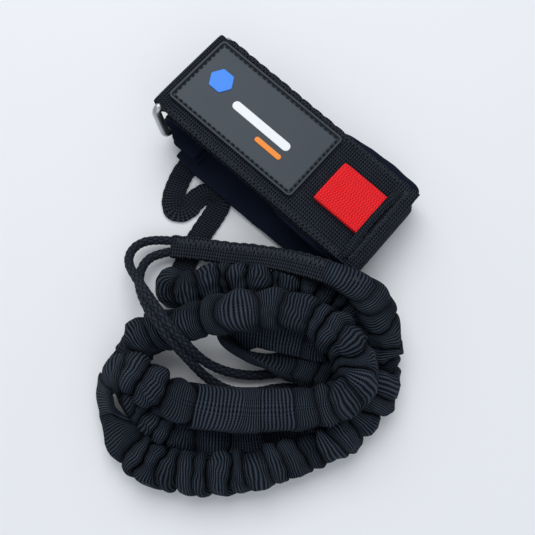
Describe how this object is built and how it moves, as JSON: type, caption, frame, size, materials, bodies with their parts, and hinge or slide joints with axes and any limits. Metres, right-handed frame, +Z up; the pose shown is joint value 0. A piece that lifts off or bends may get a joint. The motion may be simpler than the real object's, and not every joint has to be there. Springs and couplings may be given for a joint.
{
  "type": "wing foil wrist leash",
  "caption": "Padded wrist cuff with a peel-open webbing flap, steel ring and pull tab, on a coiled elastic leash that ends in a rope loop.",
  "frame": {"origin": "middle of the flattened cuff's length and of its pad's width, on the surface it lies on", "axes": "+X along the flattened cuff from the ring to the pull tab, +Y across the strap away from the leash, +Z up off the surface"},
  "size_m": [0.1996, 0.2093, 0.0416],
  "materials": {
    "neoprene": "matte jersey-faced neoprene",
    "webbing": "matte ribbed nylon webbing",
    "fastener": "hook-and-loop",
    "thread": "bonded thread",
    "steel": "brushed stainless",
    "patch": "matte moulded soft plastic",
    "mark_blue": "matte",
    "mark_white": "matte",
    "mark_orange": "matte",
    "red_webbing": "woven, slight sheen",
    "tube_webbing": "ribbed tubular webbing",
    "rubber": "latex cord",
    "rope": "braided polyester"
  },
  "bodies": {
    "cuff": {"neoprene_pad": "neoprene", "base_strap": "webbing", "loop_fastener": "fastener", "base_stitching": "thread", "ring_keeper": "neoprene", "leash_anchor": "tube_webbing", "tether_webbing": "tube_webbing", "rope_sleeve": "tube_webbing", "rope_loop": "rope", "leash_coil": "tube_webbing", "elastic_core": "rubber", "anchor_bartack": "thread", "sleeve_bartack": "thread", "keeper_stitching": "thread"},
    "ring": {"cuff_ring": "steel"},
    "flap": {"flap_strap": "webbing", "hook_fastener": "fastener", "flap_lining": "webbing", "patch": "patch", "mark_hexagon": "mark_blue", "mark_bar": "mark_white", "mark_short_bar": "mark_orange", "patch_stitching": "thread", "flap_edge_stitching": "thread", "tab_welt": "webbing", "tab_seam": "thread"},
    "tab": {"pull_tab": "red_webbing"}
  },
  "joints": [
    {"name": "ring_swing", "type": "hinge", "parent": "cuff", "child": "ring", "pos_m": [-0.0605, -0.002, 0.0139], "axis": [0, -1, 0], "range_deg": [0, 40]},
    {"name": "flap_peel", "type": "hinge", "parent": "ring", "child": "flap", "pos_m": [-0.0636, -0.002, 0.0356], "axis": [0, -1, 0], "range_deg": [0, 130]},
    {"name": "tab_lift", "type": "hinge", "parent": "flap", "child": "tab", "pos_m": [0.05661, 0.001, 0.03206], "axis": [0, 1, 0], "range_deg": [0, 95]}
  ]
}
